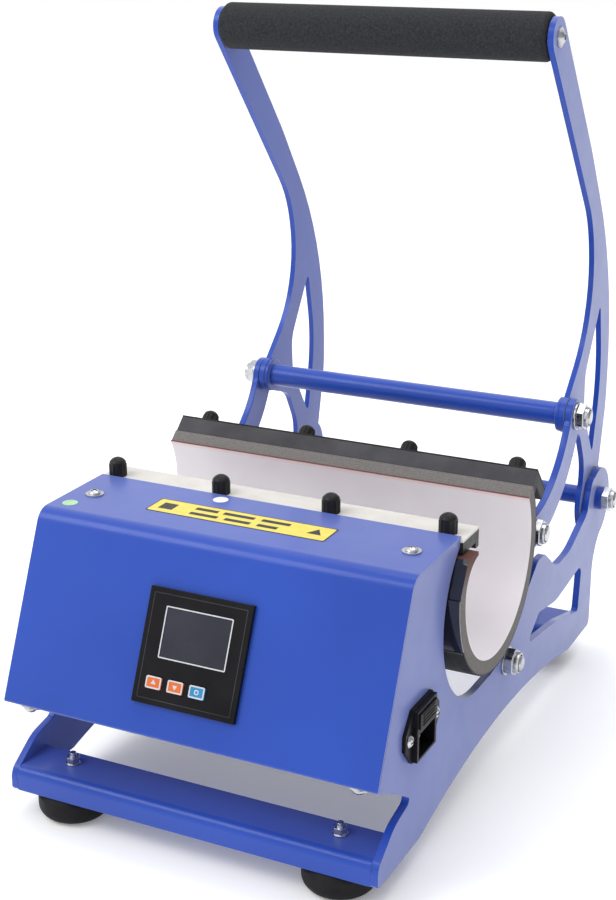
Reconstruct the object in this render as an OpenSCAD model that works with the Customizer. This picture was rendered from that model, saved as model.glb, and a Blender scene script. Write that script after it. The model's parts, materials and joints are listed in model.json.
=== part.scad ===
// Mug heat press: two steel side plates carry a control box, a toggle handle
// and a flexible C-shaped heating mat that closes round a mug.
// Every side-view point is [back, up]: back from the front edge, up from the floor.

/* [Frame] */
// Width over the two side plates
plate_span = 258; // [250:1:266]
// Thickness of every profile-cut steel plate
plate_t = 5; // [4:0.5:5]
// Gap between the inner plate layer and the side plates
layer_gap = 0.7; // [0.5:0.1:1]

/* [Control box] */
// Angle of the control face above the floor
face_angle = 66.5; // [66:0.5:67]
// Height of the cover's flat top
cover_top = 195; // [195:0.5:196]
// Thickness of the folded sheet panels
sheet_t = 1.5; // [1:0.1:2]

/* [Heating mat] */
// Radius of the open mat's lining
mat_r = 59.5; // [58:0.5:60]
// Half length of the mat across the machine
mat_half = 137; // [134:1:137]
// Thickness of the foam
foam_t = 8.7; // [8:0.1:9]
// Thickness of the lining and of the outer band
skin_t = 1.2; // [1:0.1:1.5]

/* [Handle] */
// Radius of the foam grip
grip_r = 15.9; // [13:0.1:17]
// Radius of the pivot bolts and rods
pin_r = 5; // [4.5:0.1:5]

/* [Hidden] */
$fn = 48;

blue = "#2f5fd0";
steel = "#c8ccd2";
black = "#1c1c20";
rubber = "#26262a";
foam = "#7d7a78";
lining = "#e4e0e6";
cream = "#e9e6dc";
copper = "#b87333";

depth = 448;                                   // from the front feet to the rear ears
cover_low = 81.7;                              // height of the cover's lower front edge
fit = 0.05;                                    // radial clearance of every pin in its bore
outer_x = plate_span / 2;                      // outer face of a side plate
wall_x = outer_x - plate_t;                    // inner face of a side plate
layer_x1 = wall_x - layer_gap;                 // outer face of the handle plates and jaw arms
layer_x0 = layer_x1 - plate_t;                 // inner face of the jaw arms
handle_t = 4;                                  // the handle plates are thinner
handle_x = layer_x1 - handle_t;                // inner face of the handle plates

// pivots of the toggle linkage
rear_pivot = [416, 122];                       // handle on the frame
cross_pivot = [349, 207];                      // link on the handle
link_pivot = [267, 146];                       // link on the jaw
jaw_pivot = [214, 71.6];                       // jaw on the frame
grip_axis = [287.5, 477];
link_travel = 12.2;                            // how far the link's bolt wanders along the jaw arm's slot
link_slot_r = 7;                               // half width of that slot

// heating mat in side view
mat_c = [172, 157.5];
curl_r = 22;                                   // the front end curls in over the mug
curl_c = mat_c + [curl_r - mat_r, 0];
foam_r = mat_r + skin_t;
band_r = foam_r + foam_t;
mat_out = band_r + skin_t;
front_end = 268;                               // where the front half stops at the bottom
rear_start = 296;                              // where the rear half starts
rear_lip = 30;                                 // where the rear half turns out into its flange

// flanges: the corner point, with one direction out from the mug and one up
front_corner = [147, 193];
front_out = [-1, 0];
front_up = [0, 1];
rear_corner = [241.7, 201.5];
rear_lean = 42.2;
rear_out = [sin(rear_lean), -cos(rear_lean)];
rear_up = [cos(rear_lean), sin(rear_lean)];
flange_w = 27;
block_h = 9;
strip_t = 1.5;
bar_t = 3;
front_cap_in = 18;                             // caps stand this far out from the corner
rear_cap_in = 12.5;
cap_pitch = 79.5;
cap_x = [for (i = [-1.5:1.5]) i * cap_pitch - 1.75];
cap_r = 6;
cap_h = 13;
rear_half = 136.7;                             // half length of the rear clamp

// control face
bezel_c = [-1.7, 55];
bezel_w = 71;
bezel_t = 3;
screen_c = [-1, 64.25];
screen_size = [46, 31.5];
button_v = 33;
button_x = [-23.5, -8.5, 6.5];
button_size = [11, 8];

// mains inlet, on the right side plate
inlet_c = [60.5, 96];
inlet_pitch = 40;
flange_t = 2.4;
drawer_up = 9.5;                               // the fuse drawer sits above the socket
socket_down = 7;

arch_r = 620;                                  // shallow arch under each side plate
arch_top = [212, 34.5];
board_top = 34;                                // upper face of the toe and rear boards
foot_x = 95;
foot_y = [23.5, 375];
foot_r = 23.5;
foot_round = 8;                                // rounding of the foot's lower edge
foot_h = 17.5;
foot_stud_r = 2.2;
stud_r = 3;                                    // studs under the caps

// ---- side-view helpers ----

function unit(v) = v / norm(v);
function flat(q) = [q[0], q[1]];
function arc(c, r, a0, a1, n = 24) = [for (i = [0:n]) let (a = a0 + (a1 - a0) * i / n) c + r * [cos(a), sin(a)]];
function wrap(a) = a > 180 ? a - 360 : a < -180 ? a + 360 : a;
// the fillet of radius r at q, between its neighbours p and s
function fillet(p, q, s, r) =
    let (u = unit(p - q), v = unit(s - q), half = acos(u * v) / 2, c = q + unit(u + v) * r / sin(half),
         a = q + u * r / tan(half) - c, b = q + v * r / tan(half) - c, a0 = atan2(a[1], a[0]))
    arc(c, r, a0, a0 + wrap(atan2(b[1], b[0]) - a0), r < 5 ? 4 : 9);
// a closed outline from corners [back, up, radius]
function rounded(q) = let (n = len(q))
    [for (i = [0:n - 1]) each q[i][2] == 0 ? [flat(q[i])] :
        fillet(flat(q[(i + n - 1) % n]), flat(q[i]), flat(q[(i + 1) % n]), q[i][2])];
// an open path of the same corners, its two ends left square
function bent(q) = let (n = len(q))
    [for (i = [0:n - 1]) each (i == 0 || i == n - 1 || q[i][2] == 0) ? [flat(q[i])] :
        fillet(flat(q[i - 1]), flat(q[i]), flat(q[i + 1]), q[i][2])];
function left_of(p, q) = let (u = unit(q - p)) [-u[1], u[0]];
function turns_left(p, q, s) = (q - p)[0] * (s - q)[1] - (q - p)[1] * (s - q)[0] > 0;
// the same path moved t to its left
function beside(q, t) = let (n = len(q), p = [for (k = q) flat(k)])
    [for (i = [0:n - 1])
        let (a = left_of(p[max(i - 1, 0)], p[max(i, 1)]), b = left_of(p[min(i, n - 2)], p[min(i + 1, n - 1)]),
             at = p[i] + (a + b) * t / (1 + a * b),
             inner = (i == 0 || i == n - 1) ? 0 : turns_left(p[i - 1], p[i], p[i + 1]) ? -t : t)
        [at[0], at[1], q[i][2] == 0 ? 0 : max(q[i][2] + inner, 0.3)]];
function backwards(q) = [for (i = [len(q) - 1:-1:0]) q[i]];
// a folded sheet: the path, and the path moved t to its left
function sheet(q, t) = concat(bent(q), backwards(bent(beside(q, t))));
function at(corner, out, up, a, b) = corner + a * out + b * up;

// a side-view shape as a slab from x0 to x1
module slab(x0, x1) translate([x0, -depth / 2, 0]) rotate([90, 0, 90]) linear_extrude(x1 - x0) children();
module rod(p, r, x0, x1) translate([x0, p[0] - depth / 2, p[1]]) rotate([0, 90, 0]) cylinder(r = r, h = x1 - x0);
module ring(p, r_out, r_in, x0, x1) slab(x0, x1) translate(p) difference() {
    circle(r_out);
    circle(r_in);
}
// a lock nut on a rod: hexagon, round collar and the hole
module lock_nut(p, flats, x0, h) difference() {
    union() {
        slab(x0, x0 + h * 0.68) translate(p) rotate(30) circle(r = flats / sqrt(3), $fn = 6);
        rod(p, flats * 0.43, x0, x0 + h);
    }
    rod(p, pin_r + fit, x0 - 1, x0 + h + 1);
}
module both() for (side = [0, 1]) mirror([side, 0, 0]) children();
// a place on the control face: x across, v up the slope, local z out of the face
module on_face(x, v) translate([0, -depth / 2, cover_low]) rotate([face_angle, 0, 0]) translate([x, v, 0]) children();
// a block in a flange's own directions
module flange_block(corner, out, up, a0, a1, b0, b1, half)
    slab(-half, half) polygon([at(corner, out, up, a0, b0), at(corner, out, up, a1, b0),
                               at(corner, out, up, a1, b1), at(corner, out, up, a0, b1)]);
// a stud or cap standing on a flange at x, turned so that local z is the flange's up
module on_flange(corner, out, up, cap_in, x) let (p = at(corner, out, up, cap_in, 0))
    translate([x, p[0] - depth / 2, p[1]]) rotate([atan2(up[1], up[0]) - 90, 0, 0]) children();
// an insulated wire through a few points
module wire(points, r) for (i = [1:len(points) - 1]) hull() {
    translate(points[i - 1]) sphere(r = r, $fn = 10);
    translate(points[i]) sphere(r = r, $fn = 10);
}

// ---- base frame ----

cover_run = (cover_top - cover_low) / tan(face_angle);
lip_slope = [44.8, -25.4];                     // the box floor falls this way from the cover's edge
cover_path = [
    [cover_run + 72.7, cover_top, 0], [cover_run, cover_top, 12], [0, cover_low, 1.8],
    [14 * unit(lip_slope)[0], cover_low + 14 * unit(lip_slope)[1], 0]
];
cheek = beside(cover_path, sheet_t);

module side_profile(inlet) difference() {
    union() {
        difference() {
            polygon(concat(
                rounded([
                    [cheek[2][0] + 0.4, cheek[2][1], 0], [49, 53.6, 2], [45, 50.2, 2], [26, 46.5, 30], [2.5, 31, 10],
                    [2.5, 17, 3], [412, 17, 5], [412, 76, 34], [444, 103, 0], [440, 134, 0], [400, 143, 10],
                    [394, 118, 16], [350, 101, 60], [318, 101, 26], [290, 121.5, 12], [275, 121.5, 12],
                    [208, 77, 70], [185, 74.5, 30], [161, 74.5, 0]
                ]),
                arc([161, 139], 64.5, 270, 122.4, 30),
                rounded_cheek()
            ));
            translate(arch_top - [0, arch_r]) circle(arch_r, $fn = 360);
            polygon(rounded([[258, 64.5, 3], [284, 79, 6], [322, 72.5, 60], [384, 78.5, 7], [379.5, 41, 3], [325, 55, 150]]));
        }
        translate([420, 116]) circle(28);
    }
    translate(at(front_corner, front_out, front_up, flange_w + 0.2, -block_h)) square([flange_w, 2 * block_h]);
    translate(rear_pivot) circle(pin_r + fit);
    translate(jaw_pivot) circle(pin_r + fit);
    if (inlet) {
        translate(inlet_c) square([28, 32], center = true);
        for (s = [-0.5, 0.5]) translate(inlet_c + [s * inlet_pitch, 0]) circle(1.8);
    }
}
function rounded_cheek() = let (c = cheek) concat([[126.4, c[0][1]]], fillet(flat(c[0]), flat(c[1]), flat(c[2]), c[1][2]));

module side_plate_left() color(blue) slab(-outer_x, -wall_x) side_profile(false);
module side_plate_right() color(blue) slab(wall_x, outer_x) side_profile(true);

module control_cover() color(blue) difference() {
    slab(-outer_x, outer_x) polygon(sheet(cover_path, sheet_t));
    on_face(bezel_c[0], bezel_c[1]) cube([68.6, 68.6, 12], center = true);
    both() translate([111.5, 86 - depth / 2, cover_top - 3]) cylinder(r = 2.2, h = 6);
    tray_screw_places() cylinder(r = 2.2, h = 12, center = true);
}

module tray_screw_places() both() translate([114, -depth / 2, cover_low]) rotate([atan2(lip_slope[1], lip_slope[0]), 0, 0])
    translate([0, 8.5, 0]) children();

module box_tray() color(blue) difference() {
    slab(-wall_x, wall_x) polygon(sheet([[3.2, 81.65, 0], [47.2, 56.7, 3], [93.5, 56.7, 3], [93.5, 179.5, 0]], sheet_t));
    tray_screw_places() cylinder(r = 2.2, h = 12, center = true);
    translate([70, 85 - depth / 2, 100]) rotate([-90, 0, 0]) cylinder(r = 6, h = 12);
}

// a cross-head screw with its washer, standing on z = 0
module panel_screw() {
    cylinder(r = 6, h = 0.9);
    translate([0, 0, 0.9]) difference() {
        intersection() {
            cylinder(r = 4, h = 2.6);
            translate([0, 0, -2.6]) sphere(5.2);
        }
        for (turn = [20, 110]) rotate(turn) translate([-2.5, -0.5, 1.2]) cube([5, 1, 3]);
    }
    translate([0, 0, -6]) cylinder(r = 2.15, h = 6);
}
module panel_screws() color(steel) {
    both() translate([111.5, 86 - depth / 2, cover_top]) panel_screw();
    tray_screw_places() rotate([180, 0, 0]) panel_screw();
}

module front_support() color(blue)
    slab(-wall_x, wall_x) polygon(sheet([[137, 184, 0], [89, 184, 4], [89, 160, 0]], bar_t));

module foot_holes() for (y = foot_y) both()
    translate([foot_x, y - depth / 2, board_top - 6]) cylinder(r = foot_stud_r + fit, h = 10);

module toe_board() color(blue) difference() {
    slab(-wall_x, wall_x) polygon(sheet([[36, board_top, 0], [2.5, board_top, 6], [2.5, 18, 0]], 3));
    foot_holes();
}

module rear_board() color(blue) difference() {
    slab(-wall_x, wall_x) polygon(sheet([[396, 18, 0], [396, board_top, 5], [354, board_top, 5], [354, 22, 0]], 3));
    foot_holes();
}

module at_feet() for (y = foot_y) both() translate([foot_x, y - depth / 2, 0]) children();

module rubber_feet() color(rubber) at_feet() rotate_extrude($fn = 64)
    polygon(concat([[foot_stud_r + fit, 1.5], [8, 1.5], [10, 0]],
                   arc([foot_r - foot_round, foot_round], foot_round, -90, 0, 10),
                   [[foot_r, foot_h - 3], [foot_r - 3, foot_h], [9, foot_h], [9, board_top - 3],
                    [foot_stud_r + fit, board_top - 3]]));

module foot_studs() color(steel) at_feet() {
    translate([0, 0, 10]) cylinder(r = foot_stud_r, h = board_top - 2);
    translate([0, 0, board_top]) cylinder(r = 4.8, h = 0.9);
    translate([0, 0, board_top + 0.9]) cylinder(r = 4.4, h = 4.2, $fn = 6);
}

// ---- controller on the sloping face ----

module controller_bezel() color(black) on_face(0, 0) difference() {
    translate([bezel_c[0] - bezel_w / 2, bezel_c[1] - bezel_w / 2, 0]) cube([bezel_w, bezel_w, bezel_t]);
    translate([screen_c[0] - screen_size[0] / 2, screen_c[1] - screen_size[1] / 2, bezel_t - 0.8])
        cube([screen_size[0], screen_size[1], 2]);
    for (x = button_x) translate([x - button_size[0] / 2, button_v - button_size[1] / 2, -1])
        cube([button_size[0], button_size[1], bezel_t + 2]);
}

module controller_screen() color("#44454d") on_face(screen_c[0], screen_c[1])
    translate([-screen_size[0] / 2 + 0.2, -screen_size[1] / 2 + 0.2, bezel_t - 0.8])
        cube([screen_size[0] - 0.4, screen_size[1] - 0.4, 0.6]);

module controller_body() color(black) on_face(bezel_c[0], bezel_c[1]) difference() {
    translate([-34, -34, -55]) cube([68, 68, 55]);
    for (x = button_x) translate([x - bezel_c[0], button_v - bezel_c[1], -5]) cylinder(r = 2.4, h = 6);
}

module button(i, tint) color(tint) on_face(button_x[i], button_v) {
    translate([-button_size[0] / 2 + 0.25, -button_size[1] / 2 + 0.25, 1.4])
        cube([button_size[0] - 0.5, button_size[1] - 0.5, 2.6]);
    translate([0, 0, -2.5]) cylinder(r = 2, h = 4);
}
module button_up() button(0, "#e8702a");
module button_down() button(1, "#e8702a");
module button_ok() button(2, "#3fa0d8");

module solid_state_relay() color(black) translate([-100, 58 - depth / 2, 58.2]) cube([45, 30, 22]);
module terminal_block() color(cream) difference() {
    translate([52, 60 - depth / 2, 58.2]) cube([36, 18, 14]);
    for (i = [0:3]) translate([56.5 + 9 * i, 69 - depth / 2, 66]) cylinder(r = 2.5, h = 10);
}

// ---- mains inlet ----

module inlet_at() translate([outer_x, inlet_c[0] - depth / 2, inlet_c[1]]) rotate([90, 0, 90]) children();

module inlet_housing() color(black) inlet_at() difference() {
    union() {
        linear_extrude(flange_t) difference() {
            polygon([[-26, -5], [-26, 5], [-15, 17.5], [15, 17.5], [26, 5], [26, -5], [15, -17.5], [-15, -17.5]]);
            for (s = [-0.5, 0.5]) translate([s * inlet_pitch, 0]) circle(1.8);
        }
        translate([-14.8, -16.6, flange_t]) cube([29.6, 33.2, 2.8]);
        translate([-13.8, -15.8, -24]) cube([27.6, 31.6, 24]);
    }
    translate([-12.2, -socket_down - 8, -15]) cube([24.4, 16, 30]);
    translate([-13, drawer_up - 5, -19]) cube([26, 10, 30]);
}

module inlet_pins() color(steel) inlet_at() for (p = [[-7, -socket_down - 2.5], [7, -socket_down - 2.5], [0, -socket_down + 2.5]])
    translate([p[0] - 1, p[1] - 2, -15]) cube([2, 4, 13]);

module inlet_screws() color(steel) inlet_at() for (s = [-0.5, 0.5]) translate([s * inlet_pitch, 0, 0]) difference() {
    union() {
        translate([0, 0, -7]) cylinder(r = 1.75, h = 7 + flange_t);
        translate([0, 0, flange_t]) intersection() {
            cylinder(r = 4, h = 2.4);
            translate([0, 0, -2.8]) sphere(5.2);
        }
    }
    for (turn = [0, 90]) rotate(turn) translate([-2.4, -0.5, flange_t + 1]) cube([4.8, 1, 3]);
}

module fuse_drawer() color(black) inlet_at() difference() {
    union() {
        translate([-12.8, drawer_up - 4.8, 1]) cube([25.6, 9.6, 5.4]);
        translate([-11, drawer_up - 4, -17]) cube([22, 8, 18.5]);
        for (i = [0:3]) translate([-9, drawer_up - 3.7 + 2.2 * i, 6]) cube([18, 0.9, 1]);
    }
    translate([-10, drawer_up, -11]) rotate([0, 90, 0]) cylinder(r = 2.7, h = 20);
    translate([-10, drawer_up - 2.7, -18]) cube([20, 5.4, 7]);
}
module fuse() color(steel) inlet_at() translate([-9.8, drawer_up, -11]) rotate([0, 90, 0]) cylinder(r = 2.5, h = 19.6);

module power_wires() color(copper) for (i = [0:1])
    wire([[103.6, 56 - depth / 2 + 8 * i, 92], [92, 62 - depth / 2 + 5 * i, 92], [86 - 18 * i, 66 - depth / 2, 84], [83.5 - 18 * i, 69 - depth / 2, 72.5]], 1.4);

module lead_grommet() color(rubber) translate([70, 90.5 - depth / 2, 100]) rotate([-90, 0, 0]) difference() {
    union() {
        cylinder(r = 5.95, h = 5);
        translate([0, 0, 3]) cylinder(r = 8, h = 2.5);
    }
    translate([0, 0, -1]) cylinder(r = 3, h = 9);
}
module heater_lead() color(cream)
    wire([for (q = [[80.1, 71], [84, 86], [88, 100], [98.5, 100], [98.5, 106], [98.9, 152]]) [70, q[0] - depth / 2, q[1]]], 1.9);

// ---- heating mat, front half on the frame ----

// one layer of the front half, from r0 to r1 out from the mug's side
curl_end = 95;
curl_steps = 14;
foam_steps = 10;                               // the foam follows the curl for this many of its steps
foam_stop = 180 + (curl_end - 180) * foam_steps / curl_steps;
band_top = 177;
foam_back = [[112.6, 180.6], [108.7, 173.2], [104.6, 166]];   // kept clear of the side plates' cut
function curl(r, to_deg = curl_end, n = curl_steps) = arc(curl_c, curl_r + r - mat_r, 180, to_deg, n);

module heater_lining_front() color(lining) slab(-mat_half, mat_half) polygon(concat(
    arc(mat_c, mat_r, front_end, 180), curl(mat_r), backwards(curl(foam_r)),
    backwards(arc(mat_c, foam_r, front_end, 180))));
module heater_foam_front() color(foam) slab(-mat_half, mat_half) polygon(concat(
    arc(mat_c, foam_r, front_end, 180), curl(foam_r, foam_stop, foam_steps), foam_back,
    backwards(arc(mat_c, band_r, front_end, band_top))));
module heater_band_front() color(black) slab(-mat_half, mat_half) polygon(concat(
    arc(mat_c, band_r, front_end, band_top), backwards(arc(mat_c, mat_out, front_end, band_top))));

module front_clamp_block() color("#3c3c42") difference() {
    union() {
        flange_block(front_corner, front_out, front_up, 0, flange_w, -block_h, -strip_t, 131);
        flange_block(front_corner, front_out, front_up, 0, 5, -13, -block_h + 0.5, 131);
    }
    front_bores();
}
module front_flange_strip() color(cream) difference() {
    flange_block(front_corner, front_out, front_up, 0, flange_w, -strip_t, 0, 131);
    front_bores();
}
module at_front_caps() for (x = cap_x) on_flange(front_corner, front_out, front_up, front_cap_in, x) children();
module at_rear_caps() for (x = cap_x) on_flange(rear_corner, rear_out, rear_up, rear_cap_in, x) children();
module bore() translate([0, 0, -14]) cylinder(r = stud_r + fit, h = 16);
module front_bores() at_front_caps() bore();
module rear_bores() at_rear_caps() bore();
module stud() translate([0, 0, -block_h]) cylinder(r = stud_r, h = cap_h - 4 + block_h);
// a ribbed dome nut
module cap() difference() {
    union() {
        cylinder(r = cap_r - 0.4, h = cap_h - 4);
        for (i = [0:11]) rotate(30 * i) translate([cap_r - 0.8, 0, 0]) cylinder(r = 0.8, h = cap_h - 4.5, $fn = 16);
        translate([0, 0, cap_h - 4]) intersection() {
            cylinder(r = cap_r - 0.4, h = 4);
            translate([0, 0, -2.4]) sphere(6.4);
        }
    }
    translate([0, 0, -1]) cylinder(r = stud_r + fit, h = cap_h - 2.5);
}
module front_studs() color(steel) at_front_caps() stud();
module front_caps() color(black) at_front_caps() cap();

// ---- pivots on the frame ----

module hex_bolt(p, x_head, x_end) {
    slab(x_head, x_head + 6.4) translate(p) rotate(30) circle(r = 17 / sqrt(3), $fn = 6);
    rod(p, pin_r, x_head + 6, x_end);
}
module jaw_pivot_bolts() color(steel) both() hex_bolt(jaw_pivot, layer_x0 - 6.6, outer_x + 12);
module jaw_pivot_nuts() color(steel) both() {
    ring(jaw_pivot, 10, pin_r + fit, outer_x, outer_x + 1.6);
    lock_nut(jaw_pivot, 17, outer_x + 1.6, 9);
}
module rear_rod() color(steel) rod(rear_pivot, pin_r, -outer_x - 15, outer_x + 15);
module rear_rod_spacers() color(blue) both() ring(rear_pivot, 9, pin_r + fit, outer_x, outer_x + 5);
module rear_rod_nuts() color(steel) both() lock_nut(rear_pivot, 17, outer_x + 5, 9);

// ---- handle ----

module handle_profile() difference() {
    union() {
        polygon(rounded([
            [297.6, 485.2, 0], [277.5, 468.7, 0], [384.5, 342.3, 80], [403, 272, 86], [341, 213, 0], [352, 193, 0],
            [379, 184, 20], [397, 152, 34], [391, 128, 0], [431, 130, 0], [444.5, 190, 90], [444.5, 292.5, 240],
            [372, 394, 200]
        ]));
        translate(grip_axis) circle(13);
        translate(cross_pivot) circle(13);
        translate(rear_pivot) circle(27);
    }
    polygon(rounded([[415, 275, 2], [385, 228, 26], [387, 199, 14], [414, 158, 2], [428, 216, 130]]));
    translate(grip_axis) circle(4 + fit);
    translate(cross_pivot) circle(pin_r + fit);
    translate(rear_pivot) circle(pin_r + fit);
}
module handle_plate_left() color(blue) slab(-layer_x1, -handle_x) handle_profile();
module handle_plate_right() color(blue) slab(handle_x, layer_x1) handle_profile();

module rear_tube() color(blue) ring(rear_pivot, 7, pin_r + fit, -handle_x, handle_x);
module cross_tube() color(blue) {
    ring(cross_pivot, 8.3, pin_r + fit, -handle_x, handle_x);
    both() ring(cross_pivot, 12.5, 8.2, handle_x - 3, handle_x);
}
module cross_rod() color(steel) rod(cross_pivot, pin_r, -outer_x - 11, outer_x + 11);
module cross_nuts() color(steel) both() {
    ring(cross_pivot, 10, pin_r + fit, outer_x + 0.2, outer_x + 1.8);
    lock_nut(cross_pivot, 17, outer_x + 1.8, 8.6);
}
module grip_tube() color(steel) ring(grip_axis, 10.5, 8.5, -handle_x, handle_x);
module grip_foam() color(rubber) ring(grip_axis, grip_r, 10.55, -handle_x + 1, handle_x - 1);
// button-head screws in the tube's plugs
module grip_screws() color(steel) both() {
    rod(grip_axis, 4, handle_x - 22, layer_x1 + 1);
    ring(grip_axis, 8.4, 4, handle_x - 20, handle_x - 1);
    ring(grip_axis, 6.6, 4 + fit, layer_x1, layer_x1 + 1);
    translate([layer_x1 + 1, grip_axis[0] - depth / 2, grip_axis[1]]) rotate([0, 90, 0]) difference() {
        intersection() {
            cylinder(r = 5, h = 2.8);
            translate([0, 0, -3]) sphere(5.9);
        }
        translate([0, 0, 1.2]) cylinder(r = 2, h = 3, $fn = 6);
    }
}

// ---- links ----

chord = link_pivot - cross_pivot;
link_sag = 15;
link_arc_r = (norm(chord) * norm(chord) / 4 + link_sag * link_sag) / (2 * link_sag);
link_side = [-chord[1], chord[0]] / norm(chord);
link_arc_c = (link_pivot + cross_pivot) / 2 + (link_arc_r - link_sag) * [-link_side[0], -link_side[1]];
function bearing(c, p) = atan2(p[1] - c[1], p[0] - c[0]);

// a curved bar with a round eye at each end
boss_r = 12.5;
bar_half = 11.5;
eye_turn = acos(bar_half / boss_r);
eye_reach = boss_r * sin(eye_turn);
function link_edge(r, from_deg, to_deg) = let (trim = atan(eye_reach / r) * 1.1, way = sign(to_deg - from_deg))
    arc(link_arc_c, r, from_deg + way * trim, to_deg - way * trim);

module link_profile() let (low = bearing(link_arc_c, link_pivot), high = bearing(link_arc_c, cross_pivot)) difference() {
    polygon(concat(
        link_edge(link_arc_r - bar_half, low, high), arc(cross_pivot, boss_r, high + 180 + eye_turn, high - eye_turn),
        link_edge(link_arc_r + bar_half, high, low), arc(link_pivot, bar_half, low, low - 180)));
    translate(cross_pivot) circle(pin_r + fit);
    translate(link_pivot) circle(pin_r + fit);
}
module link_left() color(blue) slab(-outer_x, -wall_x) link_profile();
module link_right() color(blue) slab(wall_x, outer_x) link_profile();
module link_bolts() color(steel) both() hex_bolt(link_pivot, layer_x0 - 6.6, outer_x + 9);
module link_nuts() color(steel) both() lock_nut(link_pivot, 17, outer_x, 8);

// ---- jaw: the rear half of the mat and its arms ----

module jaw_profile() difference() {
    polygon(concat(
        arc(mat_c, mat_out + 1.6, -58, 17),
        [at(rear_corner, rear_out, rear_up, 12, -block_h), at(rear_corner, rear_out, rear_up, flange_w, -block_h)],
        fillet([253, 175], [271, 170], [285, 146], 10), fillet([271, 170], [286, 143], [262, 112], 14),
        arc(jaw_pivot, 14, -37, -185)));
    translate(jaw_pivot) circle(pin_r + fit);
    for (step = [0, 1]) translate(link_pivot - [link_travel * step, 0]) circle(link_slot_r);
    translate(link_pivot - [link_travel, link_slot_r]) square([link_travel, 2 * link_slot_r]);
}
module jaw_arm_left() color(blue) slab(-layer_x1, -layer_x0) jaw_profile();
module jaw_arm_right() color(blue) slab(layer_x0, layer_x1) jaw_profile();
module jaw_bar() color(blue)
    flange_block(rear_corner, rear_out, rear_up, 10.5, flange_w, -block_h - bar_t, -block_h, layer_x0);

function rear_arc(r, to_deg = rear_lip) = arc(mat_c, r, rear_start - 360, to_deg);
rear_band_end = 20;
module heater_lining_rear() color(lining) slab(-mat_half, mat_half)
    polygon(concat(rear_arc(mat_r), backwards(rear_arc(foam_r))));
module heater_foam_rear() color(foam) slab(-mat_half, mat_half) polygon(concat(
    rear_arc(foam_r),
    [at(rear_corner, rear_out, rear_up, 0.5, -block_h - 0.2), at(rear_corner, rear_out, rear_up, 9.8, -block_h - 0.2)],
    backwards(rear_arc(band_r, rear_band_end))));
module heater_band_rear() color(black) slab(-mat_half, mat_half)
    polygon(concat(rear_arc(band_r, rear_band_end), backwards(rear_arc(mat_out, rear_band_end))));
module rear_clamp_block() color("#3c3c42") difference() {
    flange_block(rear_corner, rear_out, rear_up, 0, flange_w, -block_h, 0, rear_half);
    rear_bores();
}
module rear_studs() color(steel) at_rear_caps() stud();
module rear_caps() color(black) at_rear_caps() cap();

side_plate_left();
side_plate_right();
control_cover();
box_tray();
front_support();
toe_board();
rear_board();
rubber_feet();
foot_studs();
panel_screws();
controller_bezel();
controller_screen();
controller_body();
button_up();
button_down();
button_ok();
inlet_housing();
inlet_pins();
inlet_screws();
fuse_drawer();
fuse();
solid_state_relay();
terminal_block();
power_wires();
heater_lead();
lead_grommet();
heater_lining_front();
heater_foam_front();
heater_band_front();
front_clamp_block();
front_flange_strip();
front_studs();
front_caps();
jaw_pivot_bolts();
jaw_pivot_nuts();
rear_rod();
rear_rod_nuts();
rear_rod_spacers();
handle_plate_left();
handle_plate_right();
rear_tube();
cross_tube();
cross_rod();
cross_nuts();
grip_tube();
grip_foam();
grip_screws();
link_left();
link_right();
link_bolts();
link_nuts();
jaw_arm_left();
jaw_arm_right();
jaw_bar();
heater_lining_rear();
heater_foam_rear();
heater_band_rear();
rear_clamp_block();
rear_studs();
rear_caps();
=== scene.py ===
import json
from math import cos, pi, radians, sin

import bmesh
import bpy
from mathutils import Matrix, Vector


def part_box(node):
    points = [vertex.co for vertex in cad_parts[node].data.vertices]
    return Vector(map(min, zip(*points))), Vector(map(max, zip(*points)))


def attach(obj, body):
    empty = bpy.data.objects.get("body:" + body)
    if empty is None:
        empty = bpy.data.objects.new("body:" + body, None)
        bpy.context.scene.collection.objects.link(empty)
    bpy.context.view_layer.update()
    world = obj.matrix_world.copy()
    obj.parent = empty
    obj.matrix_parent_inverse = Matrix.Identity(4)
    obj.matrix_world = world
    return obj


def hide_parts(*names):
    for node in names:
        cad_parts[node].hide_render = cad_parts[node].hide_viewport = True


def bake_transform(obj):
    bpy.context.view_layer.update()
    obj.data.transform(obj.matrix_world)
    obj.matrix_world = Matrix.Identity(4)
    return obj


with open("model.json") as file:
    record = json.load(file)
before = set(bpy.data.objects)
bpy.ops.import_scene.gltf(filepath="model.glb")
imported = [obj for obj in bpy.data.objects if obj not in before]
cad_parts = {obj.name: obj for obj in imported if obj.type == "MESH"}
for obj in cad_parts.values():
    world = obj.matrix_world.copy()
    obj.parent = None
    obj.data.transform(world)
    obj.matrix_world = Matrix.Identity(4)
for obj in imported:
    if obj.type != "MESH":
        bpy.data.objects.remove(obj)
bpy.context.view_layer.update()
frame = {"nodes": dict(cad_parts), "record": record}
mm = 0.001
nodes = frame["nodes"]
ownBody = {name: body for body, names in frame["record"]["behaviour"]["bodies"].items() for name in names}
slotOf = {part["node"]: part["material_slot"] for part in frame["record"]["subparts"]}
print("frame loaded:", len(nodes), "nodes")

view = {"place": (0.4552, -0.970, 0.563), "azimuth": 26.35, "elevation": 18.72, "roll": -0.107,
        "lens": 65.46, "sensor": 36}


def makeCamera():
    camera = bpy.data.objects.new("camera", bpy.data.cameras.new("camera"))
    bpy.context.collection.objects.link(camera)
    azimuth, elevation = radians(view["azimuth"]), radians(view["elevation"])
    ahead = Vector((-sin(azimuth) * cos(elevation), cos(azimuth) * cos(elevation), -sin(elevation)))
    turn = ahead.to_track_quat("-Z", "Y").to_matrix() @ Matrix.Rotation(radians(view["roll"]), 3, "Z")
    camera.matrix_world = Matrix.Translation(view["place"]) @ turn.to_4x4()
    camera.data.lens = view["lens"]
    camera.data.sensor_width = view["sensor"]
    bpy.context.scene.camera = camera


makeCamera()

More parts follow.
